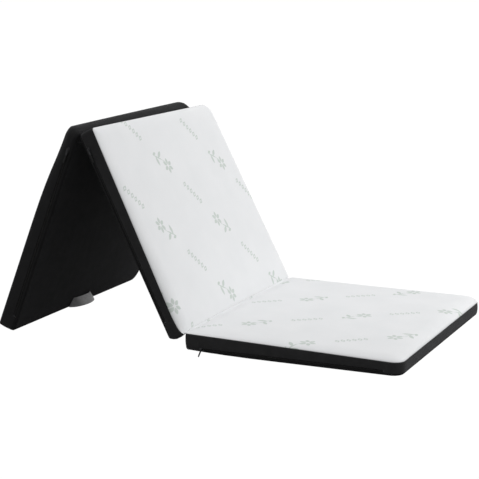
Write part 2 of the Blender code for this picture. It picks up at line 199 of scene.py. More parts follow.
# Steps along the cloth of a fold
FOLD_STEPS = 56

# The white gusset: how far it stops short of the sides, its thickness and its steps across the valley
GUSSET_INSET = 0.010
GUSSET_THICK = 0.0006
GUSSET_STEPS = 8

# How far the gusset sinks, how far it stands off the end faces, and how far down them it goes
GUSSET_SINK = 0.0016
GUSSET_FACE = 0.0009
GUSSET_DEPTHS = (0.0120, 0.0100)

# The dark tape: half its length, its thickness and how far its middle lies below the undersides
TAPE_HALF = WIDTH / 2 - CORNER * 0.8
TAPE_THICK = 0.0008
TAPE_DROP = 0.0007

# Distances of the tape's rows from the dark fold, and how far from the fold its bend ends
TAPE_ROWS = (0.030, 0.024, 0.018, 0.012, 0.008, 0.005, 0.003, 0.0015, 0.0006)

# Heights of the zip's middle and of the dark band's lower edge over it
ZIP_Z = 0.0126
SLOT_TOP = 0.0156

# Zip teeth: their sizes, how far they reach past the middle, how deep they lie and where their row ends
TOOTH_PITCH = 0.0010
TOOTH_LENGTH = 0.0030
TOOTH_WIDE = 0.00042
TOOTH_DEEP = 0.00072
TOOTH_LAP = 0.0007
TOOTH_SINK = 0.00045
TOOTH_CLEAR = 0.0036

# A tooth's rings, each with its place along the tooth and its width, and their points
TOOTH_RINGS = ((0.0, 0.55), (0.12, 1.0), (0.88, 1.0), (1.0, 0.55))
TOOTH_SIDES = 6

# Edge roundings: width and steps
TAIL_ROUND = (0.0007, 3)
METAL_ROUND = (0.00025, 2)
SELVEDGE_ROUND = (0.0005, 2)

# The handle loop: its length and how far it bows out on the floor, its webbing, and its mesh steps
LOOP_SPAN = 0.141
LOOP_BOW = 0.032
LOOP_WIDTH = 0.030
LOOP_THICK = 0.0019
LOOP_STEPS = 64
LOOP_ROWS = 12

# How clear the loop is of the floor and of the cover, how much less its upper edge bows, and its hollow
LOOP_OFF_FLOOR = 0.0006
LOOP_OFF_COVER = 0.0008
LOOP_LEAN = 0.7
LOOP_HOLLOW = 0.0015

# How far the loop's upper edge is drawn in towards its middle, at the near and the far end
LOOP_DRAW = (0.18, 0.44)

Panel = namedtuple("Panel", "name body matrix low high crease ridge shift")


def turn(axis):
    """The angle about +Y that turns +X to this direction"""
    return math.atan2(-axis[2], axis[0])


def stand(pivot, angle, along, up):
    """The matrix that puts a panel's local point (along, 0, up) at a joint, turned about +Y"""
    place = Matrix.Translation(Vector((pivot[0], -WIDTH / 2, pivot[2])))
    return place @ Matrix.Rotation(angle, 4, "Y") @ Matrix.Translation(Vector((-along, 0.0, -up)))


MIDDLE_TURN = turn(JOINTS["zip_slide_b"]["axis"])
THIRD_TURN = turn([-value for value in JOINTS["zip_slide_c"]["axis"]])


def panels():
    """Each panel's place, its ends, which are at the crease and at the dark fold, and its print's shift"""
    first = stand(WHITE_PIVOT, 0.0, 0.0, WHITE_PIVOT[2])
    second = stand(WHITE_PIVOT, MIDDLE_TURN, PITCH, WHITE_PIVOT[2])
    third = stand(BLACK_PIVOT, THIRD_TURN, PITCH, -BLACK_DROP)
    return {
        "a": Panel("a", "panel_a", first, WHITE_GAP, PITCH, "low", None, 0.0),
        "b": Panel("b", "panel_b", second, BLACK_GAP, PITCH - WHITE_GAP, "high", "low", -PITCH),
        "c": Panel("c", "panel_c", third, 0.0, PITCH - BLACK_GAP, None, "high", -2 * PITCH),
    }


PANELS = panels()

# Radii of each plan's corners: low and high x on the near side, then on the far side
CORNERS = {
    "a": (FOLD_CORNER, NEAR_END_CORNER, FOLD_CORNER, CORNER),
    "b": (RIDGE_CORNER, FOLD_CORNER, CORNER, FOLD_CORNER),
    "c": (FOOT_CORNER, RIDGE_NEAR_CORNER, CORNER, RIDGE_FAR_CORNER),
}


# Shapes of a panel

def grid_lines(low, high):
    """Coordinates from low to high that crowd towards both ends"""
    count = round((high - low - 2 * EDGE_STEPS[-1]) / GRID_STEP)
    middle = np.linspace(low + EDGE_STEPS[-1], high - EDGE_STEPS[-1], count + 1)[1:-1]
    return [low + step for step in EDGE_STEPS] + list(middle) + [high - step for step in reversed(EDGE_STEPS)]


def corner_round(panel, x, y, inset=0.0, z=SEAM):
    """A point of the square plan, at height z, moved so that corners are arcs and drawn in by inset"""
    radii = CORNERS[panel.name]
    near = y < WIDTH / 2
    left = x < (panel.low + panel.high) / 2
    radius = radii[(0 if left else 1) + (0 if near else 2)]
    from_x = x - panel.low if left else panel.high - x
    from_y = y if near else WIDTH - y
    if from_x < radius and from_y < radius:
        a = 1 - from_x / radius
        b = 1 - from_y / radius
        reach = max(a, b)
        if reach > 0:
            angle = math.pi / 4 * b / a if a >= b else math.pi / 2 - math.pi / 4 * a / b
            from_x = radius - radius * reach * math.cos(angle)
            from_y = radius - radius * reach * math.sin(angle)
    span = panel.high - panel.low
    shrink_x = 1 - 2 * inset / span
    shrink_y = 1 - 2 * inset / WIDTH
    x = panel.low + from_x if left else panel.high - from_x
    y = from_y if near else WIDTH - from_y
    middle = (panel.low + panel.high) / 2
    x = middle + (x - middle) * shrink_x
    y = WIDTH / 2 + (y - WIDTH / 2) * shrink_y
    out = SAG_OUT * sag_share(panel, x, y) * (SAG_FOOT + (1 - SAG_FOOT) * min(z / SAG_FULL, 1.0))
    return x + end_shift(panel, x, y) + out, y + near_draw(panel, x, y) + lean_back(panel, x, y, z)


def near_draw(panel, x, y):
    """How far a point is drawn in: most at the near side's end at the dark fold, and none at the far side"""
    if panel.ridge is None:
        return 0.0
    along = x / PITCH if panel.ridge == "high" else 1 - x / PITCH
    return RIDGE_DRAW * along * (1 - y / WIDTH)


def lean_share(panel, x, y):
    """How much of the third panel's lean is felt here: all of it at the dark fold's near end"""
    if panel.ridge != "high":
        return 0.0
    return math.exp(-(((panel.high - x) / LEAN_REACH) ** 2)) * max(1 - y / WIDTH, 0.0) ** 2


def lean_back(panel, x, y, z):
    """How far the near side leans back above the zip"""
    up = min(max((z - SLOT_TOP) / (SEAM - SLOT_TOP), 0.0), 1.0)
    return LEAN * lean_share(panel, x, y) * up * up


def sag_share(panel, x, y):
    """How much the middle panel's near corner sags at the crease here"""
    if panel.crease != "high":
        return 0.0
    return math.exp(-(((panel.high - x) / SAG_REACH[0]) ** 2) - (y / SAG_REACH[1]) ** 2)


def end_shift(panel, x, y):
    """How far the middle panel's end is pulled in at the dark fold, and the others' high ends stand out"""
    if panel.ridge != "low":
        return END_STRETCH[panel.name] * max(1 - (panel.high - x) / END_STRETCH_REACH, 0.0)
    pull = END_PULL[0] + (END_PULL[1] - END_PULL[0]) * y / WIDTH
    return pull * max(1 - (x - panel.low) / END_PULL_REACH, 0.0)


def ripple(panel, x, y):
    """A small fixed unevenness, between -1 and 1"""
    u = x + 3 * panel.shift
    return sum(math.sin(along * u + across * y + phase) for along, across, phase in RIPPLES) / len(RIPPLES)


def wander(panel, x, y):
    """How far the white seam stands from its height here"""
    u = (x - panel.low) / (panel.high - panel.low)
    v = y / WIDTH
    near_low, near_high, far_low, far_high = WANDER[panel.name]
    level = (near_low * (1 - u) + near_high * u) * (1 - v) + (far_low * (1 - u) + far_high * u) * v
    if panel.name == "b":
        away = math.hypot(panel.high - x, y) / TONGUE_REACH
        level += TONGUE * math.exp(-away)
    return level


def edge_distances(panel, x, y):
    """Distance to the nearest open edge, and to the crease if there is one"""
    ends = {"low": x - panel.low, "high": panel.high - x}
    sides = [y, WIDTH - y] + [away for end, away in ends.items() if end != panel.crease]
    return max(min(sides), 0.0), max(ends[panel.crease], 0.0) if panel.crease else None


def droop(panel, x, y):
    """How far the first panel's top sinks towards its near side"""
    if panel.name != "a":
        return 0.0
    return DROOP_SHARE * max(-wander(panel, x, 0.0), 0.0) * max(1 - y / DROOP_REACH, 0.0) ** 2


def top_height(panel, x, y):
    """Height of the white top over the square plan"""
    open_edge, crease = edge_distances(panel, x, y)
    fall = TOP - SEAM - wander(panel, x, y) - droop(panel, x, y)
    inside = min(open_edge / CROWN_REACH, 1)
    short = 1 - inside
    share = CROWN_SOFT * short**3 + (1 - CROWN_SOFT) * (1 - math.sqrt(1 - short**CROWN_POWER))
    drop = max(fall * share, 0.0)
    if crease is not None:
        valley = VALLEY * (1 - VALLEY_LOSS * share) * max(1 - crease / VALLEY_REACH, 0.0) ** 2
        drop = (drop**4 + valley**4) ** 0.25
    sunk = LEAN_DIP * lean_share(panel, x, y) + SAG_DOWN * sag_share(panel, x, y) + droop(panel, x, y)
    return TOP - drop - sunk - TOP_RIPPLE * (1 + ripple(panel, x, y)) * inside


def rim_height(away, radius):
    """Height of a rounded edge at a distance in from it"""
    if away >= radius:
        return 0.0
    return radius - math.sqrt(radius * radius - (radius - away) ** 2)


def bottom_height(panel, x, y):
    """Height of the base cloth over the square plan: flat, with a rounded rim"""
    away = max(min(x - panel.low, panel.high - x, y, WIDTH - y), 0.0)
    height = rim_height(away, RIM)
    if panel.name == "b":
        height = max(height, rim_height(max(panel.high - x, 0.0), CREASE_RIM))
    if panel.name == "a":
        share = max(1 - x / CORNER_LIFT_REACH, 0.0) * max(1 - y / CORNER_LIFT_REACH, 0.0)
        height = max(height, CORNER_LIFT * share * share + rim_height(max(x - panel.low, 0.0), LIFTED_RIM))
    if height > 0.0:
        return height
    inside = min((away - RIM) / CROWN_REACH, 1)
    return BASE_RIPPLE[panel.name] * (1 + ripple(panel, 1.7 * x, y + x)) * inside


def plan_grid(panel):
    """The plan's grid lines along x and along y"""
    return grid_lines(panel.low, panel.high), grid_lines(0.0, WIDTH)


def boundary_loop(nx, ny):
    """Grid indices round the edge: near side, high end, far side and low end"""
    loop = [(i, 0) for i in range(nx)]
    loop += [(nx - 1, j) for j in range(1, ny)]
    loop += [(i, ny - 1) for i in range(nx - 2, -1, -1)]
    loop += [(0, j) for j in range(ny - 2, 0, -1)]
    return loop


# Mesh helpers

def add_object(name, data):
    """A new object in the scene"""
    obj = bpy.data.objects.new(name, data)
    bpy.context.scene.collection.objects.link(obj)
    return obj


def mesh_object(name, vertices, faces, uvs=None, matrix=None, smooth=True):
    """An object from points and faces. uvs gives one pair in metres for each vertex"""
    mesh = bpy.data.meshes.new(name)
    mesh.from_pydata([tuple(v) for v in vertices], [], faces)
    mesh.update()
    if uvs is not None:
        layer = mesh.uv_layers.new(name="metres")
        flat = np.array([uvs[loop.vertex_index] for loop in mesh.loops], float)
        layer.data.foreach_set("uv", flat.ravel())
    if smooth:
        mesh.shade_smooth()
    obj = add_object(name, mesh)
    if matrix is not None:
        obj.matrix_world = matrix
    return obj


def grid_faces(nx, ny, flip=False):
    """Faces between the points of a grid, which are listed along y first"""
    faces = []
    for i in range(nx - 1):
        for j in range(ny - 1):
            a = i * ny + j
            quad = (a, a + ny, a + ny + 1, a + 1)
            faces.append(tuple(reversed(quad)) if flip else quad)
    return faces


def bar_faces(base, rings, sides):
    """Faces of a closed bar whose rings of points start at base"""
    faces = []
    for ring in range(rings - 1):
        for side in range(sides):
            a = base + ring * sides + side
            b = base + ring * sides + (side + 1) % sides
            faces.append((a, b, b + sides, a + sides))
    for ring in (0, rings - 1):
        faces.append(tuple(base + ring * sides + side for side in range(sides)))
    return faces


def outward_faces(obj):
    """Turns all faces the same way, outwards where the mesh is closed"""
    bm = bmesh.new()
    bm.from_mesh(obj.data)
    bmesh.ops.recalc_face_normals(bm, faces=bm.faces)
    bm.to_mesh(obj.data)
    bm.free()
    return obj


def thicken(obj, thickness, offset=-1.0):
    """Gives cloth its thickness: inwards, or to both sides with an offset of 0"""
    solid = obj.modifiers.new("thickness", "SOLIDIFY")
    solid.thickness = thickness
    solid.offset = offset
    solid.use_even_offset = False
    return obj


def round_edges(obj, name, size):
    """Rounds an object's edges by a width in so many steps"""
    soften = obj.modifiers.new(name, "BEVEL")
    soften.width, soften.segments = size
    return obj


def finish_with(obj, material):
    """Gives an object its only material"""
    obj.data.materials.clear()
    obj.data.materials.append(material)
    return obj


def apply_modifiers(obj):
    """Turns what the modifiers make into the object's own mesh"""
    bpy.context.view_layer.update()
    graph = bpy.context.evaluated_depsgraph_get()
    mesh = bpy.data.meshes.new_from_object(obj.evaluated_get(graph))
    obj.modifiers.clear()
    obj.data = mesh
    return obj


# Covers

def knit_top(panel):
    """The white top: a crowned grid with a rim that tucks under at the seam"""
    xs, ys = plan_grid(panel)
    nx, ny = len(xs), len(ys)
    vertices = []
    uvs = []
    for x in xs:
        for y in ys:
            px, py = corner_round(panel, x, y)
            vertices.append((px, py, top_height(panel, x, y)))
            uvs.append((px + panel.shift, py))
    faces = grid_faces(nx, ny)
    loop = boundary_loop(nx, ny)
    start = len(vertices)
    for i, j in loop:
        px, py = corner_round(panel, xs[i], ys[j], SEAM_TUCK)
        vertices.append((px, py, top_height(panel, xs[i], ys[j]) - SEAM_TUCK))
        uvs.append((px + panel.shift, py))
    rim = [i * ny + j for i, j in loop]
    for k in range(len(loop)):
        after = (k + 1) % len(loop)
        faces.append((rim[after], rim[k], start + k, start + after))
    obj = mesh_object("knit_" + panel.name, vertices, faces, uvs, panel.matrix)
    return thicken(outward_faces(obj), CLOTH)


def loop_normals(points):
    """Outward directions in plan at the points of a closed loop that runs near side first"""
    normals = []
    count = len(points)
    for k in range(count):
        ahead = points[(k + 1) % count]
        behind = points[k - 1]
        dx = ahead[0] - behind[0]
        dy = ahead[1] - behind[1]
        length = math.hypot(dx, dy) or 1.0
        normals.append((dy / length, -dx / length))
    return normals


def border_foot(panel, x, y):
    """Height of the border's lower edge, lifted over the zip"""
    start = panel.low + CORNER
    end = panel.high - CORNER
    if y <= 0.0 and start - SAME <= x <= end + SAME:
        return SLOT_TOP
    return bottom_height(panel, x, y) - FOOT_LAP


def border_loop(panel):
    """The square plan's points round the edge, the rounded plan's points and its outward directions"""
    xs, ys = plan_grid(panel)
    square = [(xs[i], ys[j]) for i, j in boundary_loop(len(xs), len(ys))]
    plan = [corner_round(panel, x, y) for x, y in square]
    return square, plan, loop_normals(plan)


def border_point(panel, x, y, normal, share, tuck=0.0, lift=0.0):
    """A point of the dark band at a share of its height"""
    foot = border_foot(panel, x, y)
    head = top_height(panel, x, y) - HEAD_DROP
    low_bulge, high_bulge = BULGES[panel.name]
    across = normal[0]
    bulge = SIDE_BULGE * (1 - abs(across)) + (high_bulge if across > 0 else low_bulge) * abs(across)
    uneven = 1 + BULGE_RIPPLE * ripple(panel, 2 * x, 2 * y + share)
    out = bulge * math.sin(math.pi * share) * uneven + LAP - tuck
    z = foot + (head - foot) * share + lift
    px, py = corner_round(panel, x, y, 0.0, z)
    return px + normal[0] * out, py + normal[1] * out, z


def side_border(panel):
    """The dark band: it stands from the rim to the white seam and bulges a little"""
    square, plan, normals = border_loop(panel)
    rows = len(BAND_SHARES)
    vertices = []
    uvs = []
    run = 0.0
    for k, (x, y) in enumerate(square):
        if k:
            run += math.dist(plan[k], plan[k - 1])
        for row, share in enumerate(BAND_SHARES):
            tuck = SEAM_TUCK if row in (0, rows - 1) else 0.0
            lift = SEAM_TUCK if row == 0 else 0.0
            point = border_point(panel, x, y, normals[k], share, tuck, lift)
            vertices.append(point)
            uvs.append((run, point[2]))
    faces = []
    for k in range(len(square)):
        after = (k + 1) % len(square)
        for row in range(rows - 1):
            a, b = k * rows + row, after * rows + row
            faces.append((a, b, b + 1, a + 1))
    obj = mesh_object("border_" + panel.name, vertices, faces, uvs, panel.matrix)
    return thicken(outward_faces(obj), CLOTH)


def seam_stitches(panel):
    """The row of short stitches that runs round the band just under the white seam"""
    square, _, normals = border_loop(panel)
    track = [
        Vector(border_point(panel, x, y, normal, STITCH_SHARE))
        for (x, y), normal in zip(square, normals)
    ]
    outward = [Vector((normal[0], normal[1], 0.0)) for normal in normals]
    vertices = []
    faces = []
    run = 0.0
    due = 0.5 * STITCH_PITCH
    for k, start in enumerate(track):
        end = track[(k + 1) % len(track)]
        length = (end - start).length
        while due < run + length:
            share = (due - run) / length
            centre = start.lerp(end, share)
            out = outward[k].lerp(outward[(k + 1) % len(track)], share).normalized()
            along = (end - start).normalized()
            up = out.cross(along)
            base = len(vertices)
            for place, wide in STITCH_RINGS:
                for side in range(STITCH_SIDES):
                    angle = 2 * math.pi * side / STITCH_SIDES
                    spread = STITCH_WIDE * wide * (math.cos(angle) * up + STITCH_FLAT * math.sin(angle) * out)
                    vertices.append(centre + STITCH_LENGTH * place * along + spread)
            faces += bar_faces(base, len(STITCH_RINGS), STITCH_SIDES)
            due += STITCH_PITCH
        run += length
    obj = mesh_object("stitches_" + panel.name, vertices, faces, matrix=panel.matrix)
    return outward_faces(obj)


def base_cloth(panel):
    """The dark underside with its rounded rim"""
    xs, ys = plan_grid(panel)
    nx, ny = len(xs), len(ys)
    vertices = []
    uvs = []
    for x in xs:
        for y in ys:
            height = bottom_height(panel, x, y)
            px, py = corner_round(panel, x, y, 0.0, height)
            vertices.append((px, py, height))
            uvs.append((px + panel.shift, py))
    obj = mesh_object("base_" + panel.name, vertices, grid_faces(nx, ny, flip=True), uvs, panel.matrix)
    return thicken(obj, CLOTH)


def foam_block(panel):
    """The foam inside: top and bottom grids drawn in, and joined round the sides"""
    xs, ys = plan_grid(panel)
    nx, ny = len(xs), len(ys)
    vertices = []
    uvs = []
    for height, lift in ((top_height, -FOAM_INSET), (bottom_height, FOAM_INSET)):
        for x in xs:
            for y in ys:
                z = height(panel, x, y) + lift
                px, py = corner_round(panel, x, y, FOAM_INSET, z)
                vertices.append((px, py, z))
                uvs.append((px, py))
    count = nx * ny
    faces = grid_faces(nx, ny)
    faces += [tuple(v + count for v in face) for face in grid_faces(nx, ny, flip=True)]
    loop = [i * ny + j for i, j in boundary_loop(nx, ny)]
    for k in range(len(loop)):
        after = (k + 1) % len(loop)
        faces.append((loop[k], loop[k] + count, loop[after] + count, loop[after]))
    obj = mesh_object("foam_" + panel.name, vertices, faces, uvs, panel.matrix)
    return outward_faces(obj)


def strip(name, section_at, half, steps):
    """A band along y, from -half to half, whose cross-section at y is a list of points in x and z"""
    vertices = []
    uvs = []
    for step in range(steps + 1):
        y = half * (2 * step / steps - 1)
        section = section_at(y)
        run = 0.0
        for k, (x, z) in enumerate(section):
            if k:
                run += math.dist(section[k - 1], (x, z))
            vertices.append((x, y, z))
            uvs.append((run, y))
    return mesh_object(name, vertices, grid_faces(steps + 1, len(section)), uvs)


def white_fold():
    """The knit gusset in the white crease: up one end face, across at the tops' level and down the other"""
    a, b = PANELS["a"], PANELS["b"]
    rotation = Matrix.Rotation(MIDDLE_TURN, 3, "Y")
    axis = Vector(WHITE_PIVOT)

    def section_at(y):
        start = axis.z - top_height(a, a.low, y + WIDTH / 2) + GUSSET_THICK / 2
        end = axis.z - top_height(b, b.high, y + WIDTH / 2) + GUSSET_THICK / 2
        points = [Vector((GUSSET_FACE, 0.0, -depth)) for depth in (*GUSSET_DEPTHS, start)]
        for step in range(GUSSET_STEPS + 1):
            share = step / GUSSET_STEPS
            angle = -math.pi / 2 - MIDDLE_TURN * share
            radius = start + (end - start) * share + GUSSET_SINK * math.sin(math.pi * share)
            points.append(radius * Vector((math.cos(angle), 0.0, math.sin(angle))))
        for depth in (end, *reversed(GUSSET_DEPTHS)):
            points.append(rotation @ Vector((-GUSSET_FACE, 0.0, -depth)))
        return [(axis.x + point.x, axis.z + point.z) for point in points]

    obj = strip("fold_knit", section_at, WIDTH / 2 - GUSSET_INSET, FOLD_STEPS)
    thicken(outward_faces(obj), GUSSET_THICK, 0.0)
    apply_modifiers(obj)
    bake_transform(obj)
    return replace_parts(obj, "fold_tape_white_a", "fold_tape_white_b")


def black_fold():
    """The dark tape sewn under both panels, which bends at the fold's axis"""
    b, c = PANELS["b"], PANELS["c"]
    points = [b.matrix @ Vector((along, 0.0, -TAPE_DROP)) for along in TAPE_ROWS]
    points += [c.matrix @ Vector((PITCH - along, 0.0, -TAPE_DROP)) for along in reversed(TAPE_ROWS)]
    section = [(point.x, point.z) for point in points]
    obj = strip("fold_dark", lambda y: section, TAPE_HALF, FOLD_STEPS)
    thicken(outward_faces(obj), TAPE_THICK, 0.0)
    apply_modifiers(obj)
    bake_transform(obj)
    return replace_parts(obj, "fold_tape_black_b", "fold_tape_black_c")


# Zips

def zip_teeth(panel):
    """The coil's teeth: small rounded bars that reach across the zip from either side by turns"""
    low = panel.low + CORNER + TOOTH_CLEAR
    high = panel.high - CORNER - TOOTH_CLEAR
    count = int((high - low) / TOOTH_PITCH)
    vertices = []
    faces = []
    uvs = []
    for tooth in range(count):
        x = low + TOOTH_PITCH * (tooth + 0.5)
        y = near_draw(panel, x, 0.0) + TOOTH_SINK
        up = 1 if tooth % 2 else -1
        base = len(vertices)
        for share, wide in TOOTH_RINGS:
            z = ZIP_Z + up * (TOOTH_LENGTH * share - TOOTH_LAP)
            for side in range(TOOTH_SIDES):
                angle = 2 * math.pi * side / TOOTH_SIDES
                across = TOOTH_WIDE * wide * math.cos(angle)
                inward = TOOTH_DEEP * wide * math.sin(angle)
                vertices.append((x + across, y + inward, z))
                uvs.append((x, z))
        faces += bar_faces(base, len(TOOTH_RINGS), TOOTH_SIDES)
    obj = mesh_object("teeth_" + panel.name, vertices, faces, uvs, panel.matrix)
    return outward_faces(obj)


def pull_strip(panel):
    """The pull's woven tail: its CAD solid, worn round at the edges"""
    node = frame["nodes"]["pull_tail_" + panel.name]
    obj = add_object("tail_" + panel.name, node.data.copy())
    return round_edges(obj, "rounding", TAIL_ROUND)


# Handle

def webbing_loop():
    """The carry handle: webbing that bows out on the floor, with rounded selvedges"""
    foot = Vector(JOINTS["handle_swing"]["pos_m"])
    slope = 1 / math.tan(-THIRD_TURN)
    vertices = []
    uvs = []
    run = 0.0
    last = None
    for step in range(LOOP_STEPS + 1):
        angle = math.pi * step / LOOP_STEPS
        swell = math.sin(angle)
        point = (LOOP_BOW * swell, -math.cos(angle) * LOOP_SPAN / 2)
        if last is not None:
            run += math.dist(point, last)
        last = point
        for row in range(LOOP_ROWS + 1):
            share = row / LOOP_ROWS
            height = LOOP_OFF_FLOOR + (LOOP_WIDTH - LOOP_OFF_FLOOR) * share
            bow = LOOP_BOW * (1 - LOOP_LEAN * share) * swell
            hollow = LOOP_HOLLOW * math.sin(math.pi * share) * swell
            x = foot.x + LOOP_OFF_COVER + height * slope + bow + hollow
            drawn = share * (LOOP_DRAW[0] + (LOOP_DRAW[1] - LOOP_DRAW[0]) * (0.5 + point[1] / LOOP_SPAN))
            vertices.append((x, point[1] * (1 - drawn), height))
            uvs.append((run, share * LOOP_WIDTH))
    obj = mesh_object("webbing_loop", vertices, grid_faces(LOOP_STEPS + 1, LOOP_ROWS + 1), uvs)
    thicken(outward_faces(obj), LOOP_THICK, 0.0)
    return round_edges(obj, "selvedge", SELVEDGE_ROUND)


# Nodes

class Tree:
    """A short way to build nodes"""

    def __init__(self, tree):
        self.tree = tree

    def node(self, kind, **settings):
        made = self.tree.nodes.new(kind)
        for key, value in settings.items():
            setattr(made, key, value)
        return made

    def link(self, source, target):
        self.tree.links.new(source, target)

    def feed(self, socket, value):
        """Links a socket to another one, or sets its own value"""
        if isinstance(value, bpy.types.NodeSocket):
            self.link(value, socket)
        else:
            socket.default_value = value

    def math(self, operation, *values):
        made = self.node("ShaderNodeMath", operation=operation)
        for socket, value in zip(made.inputs, values):
            self.feed(socket, value)
        return made.outputs[0]

    def add(self, first, second):
        return self.math("ADD", first, second)

    def sub(self, first, second):
        return self.math("SUBTRACT", first, second)

    def mul(self, first, second):
        return self.math("MULTIPLY", first, second)

    def span(self, value, low, high, to_low=0.0, to_high=1.0):
        """A value brought from one range to another and held inside it"""
        made = self.node("ShaderNodeMapRange")
        self.feed(made.inputs[0], value)
        for socket, number in zip(made.inputs[1:5], (low, high, to_low, to_high)):
            socket.default_value = number
        return made.outputs[0]

    def seen(self):
        """1 for a ray that shows a surface, straight or mirrored or through it, and 0 for one that lights"""
        rays = self.node("ShaderNodeLightPath").outputs
        direct = self.math("MAXIMUM", rays["Is Camera Ray"], rays["Is Glossy Ray"])
        return self.math("MAXIMUM", direct, rays["Is Transmission Ray"])


class Nodes(Tree):
    """The nodes of a new material"""

    def __init__(self, name):
        self.material = bpy.data.materials.new(name)
        self.material.use_nodes = True
        super().__init__(self.material.node_tree)
        self.shader = self.tree.nodes["Principled BSDF"]

    def metres(self):
        return self.node("ShaderNodeUVMap", uv_map="metres").outputs[0]

    def split(self, vector):
        """A vector's first two parts"""
        made = self.node("ShaderNodeSeparateXYZ")
        self.link(vector, made.inputs[0])
        return made.outputs[0], made.outputs[1]

    def noise(self, vector, scale, detail=2.0, roughness=0.5):
        made = self.node("ShaderNodeTexNoise")
        self.link(vector, made.inputs["Vector"])
        made.inputs["Scale"].default_value = scale
        made.inputs["Detail"].default_value = detail
        made.inputs["Roughness"].default_value = roughness
        return made.outputs["Fac"]

    def mix(self, factor, first, second):
        """A mix of two colours, whose sockets in this node are 6, 7 and, for the result, 2"""
        made = self.node("ShaderNodeMix", data_type="RGBA")
        self.feed(made.inputs["Factor"], factor)
        self.feed(made.inputs[6], first)
        self.feed(made.inputs[7], second)
        return made.outputs[2]

    def bump(self, height, distance, strength):
        made = self.node("ShaderNodeBump")
        made.inputs["Strength"].default_value = strength
        made.inputs["Distance"].default_value = distance
        self.link(height, made.inputs["Height"])
        return made.outputs[0]

    def shade(self, values):
        """Feeds the shader's own sockets by their names and gives the material"""
        for name, value in values.items():
            self.feed(self.shader.inputs[name], value)
        return self.material


def waves(build, value, period):
    """A sine of a length, between 0 and 1"""
    turned = build.mul(value, 2 * math.pi / period)
    return build.math("MULTIPLY_ADD", build.math("SINE", turned), 0.5, 0.5)


# Print

# Slant of the print's rows, its steps along and across them, and how far each row is moved on, in steps
PRINT_SLANT = math.radians(38)
PRINT_STEP = 0.150
PRINT_ROW = 0.245
PRINT_STAGGER = 0.37

# Where the count of steps and rows begins, far enough out to keep the numbers above 0
FIRST_STEP = 100.0
FIRST_ROW = 100.27

# A spray's leaves: foot, direction, length and width of the stem, its end, both leaves and the bud
SPRAY = (
    ((-0.046, -0.015), 0.42, 0.050, 0.0050),
    ((-0.003, 0.004), 0.10, 0.018, 0.0048),
    ((-0.034, -0.010), -0.55, 0.032, 0.0115),
    ((-0.021, -0.004), 1.55, 0.031, 0.0115),
    ((-0.046, -0.015), 1.15, 0.020, 0.0095),
)

# The flower: its middle, the open ring inside the petals, the first petal's direction, and the petals' size
FLOWER = (0.026, 0.006)
FLOWER_RING = 0.0040
FIRST_PETAL = 0.3
PETAL_SIZE = (0.021, 0.0120)

# Lozenges: their step, half of their width and height, the share that is open and how many a half row has
LOZENGE_STEP = 0.0165
LOZENGE_HALF = (0.0072, 0.0118)
LOZENGE_OPEN = 0.45
LOZENGES_HALF_ROW = 3

# How soft the print's edges are, from outside to inside, on a leaf in metres and on a lozenge as shares
LEAF_EDGE = (-0.0002, 0.0004)
LOZENGE_EDGE = (-0.04, 0.06)


def leaf(build, x, y, foot, angle, length, width):
    """A mask that is 1 inside one pointed leaf"""
    c, s = math.cos(angle), math.sin(angle)
    dx = build.sub(x, foot[0])
    dy = build.sub(y, foot[1])
    along = build.add(build.mul(dx, c / length), build.mul(dy, s / length))
    aside = build.add(build.mul(dx, -s), build.mul(dy, c))
    belly = build.mul(build.sub(1.0, along), along)
    room = build.sub(build.mul(belly, 2 * width), build.math("ABSOLUTE", aside))
    return build.span(room, *LEAF_EDGE)


def blossom(build, x, y):
    """A small spray: a bent stem with two leaves, a bud and an open flower of six petals"""
    parts = list(SPRAY)
    for petal in range(6):
        angle = FIRST_PETAL + petal * math.pi / 3
        foot = (FLOWER[0] + FLOWER_RING * math.cos(angle), FLOWER[1] + FLOWER_RING * math.sin(angle))
        parts.append((foot, angle, *PETAL_SIZE))
    total = leaf(build, x, y, *parts[0])
    for part in parts[1:]:
        total = build.math("MAXIMUM", total, leaf(build, x, y, *part))
    return total


def lozenges(build, x, y):
    """A row of lozenges, each with an open middle"""
    half_width, half_height = LOZENGE_HALF
    cell = build.sub(build.math("FRACT", build.mul(x, 1 / LOZENGE_STEP)), 0.5)
    across = build.mul(build.math("ABSOLUTE", cell), LOZENGE_STEP / half_width)
    up = build.mul(build.math("ABSOLUTE", y), 1 / half_height)
    reach = build.add(across, up)
    shape = build.span(build.sub(1.0, reach), *LOZENGE_EDGE)
    hole = build.span(build.sub(LOZENGE_OPEN, reach), *LOZENGE_EDGE)
    in_row = build.math("LESS_THAN", build.math("ABSOLUTE", x), LOZENGES_HALF_ROW * LOZENGE_STEP)
    return build.mul(build.sub(shape, hole), in_row)


def cell_of(build, place, size):
    """The whole number of a place that is counted in cells, and its distance from the cell's middle"""
    cell = build.math("FLOOR", place)
    return cell, build.mul(build.sub(build.sub(place, cell), 0.5), size)


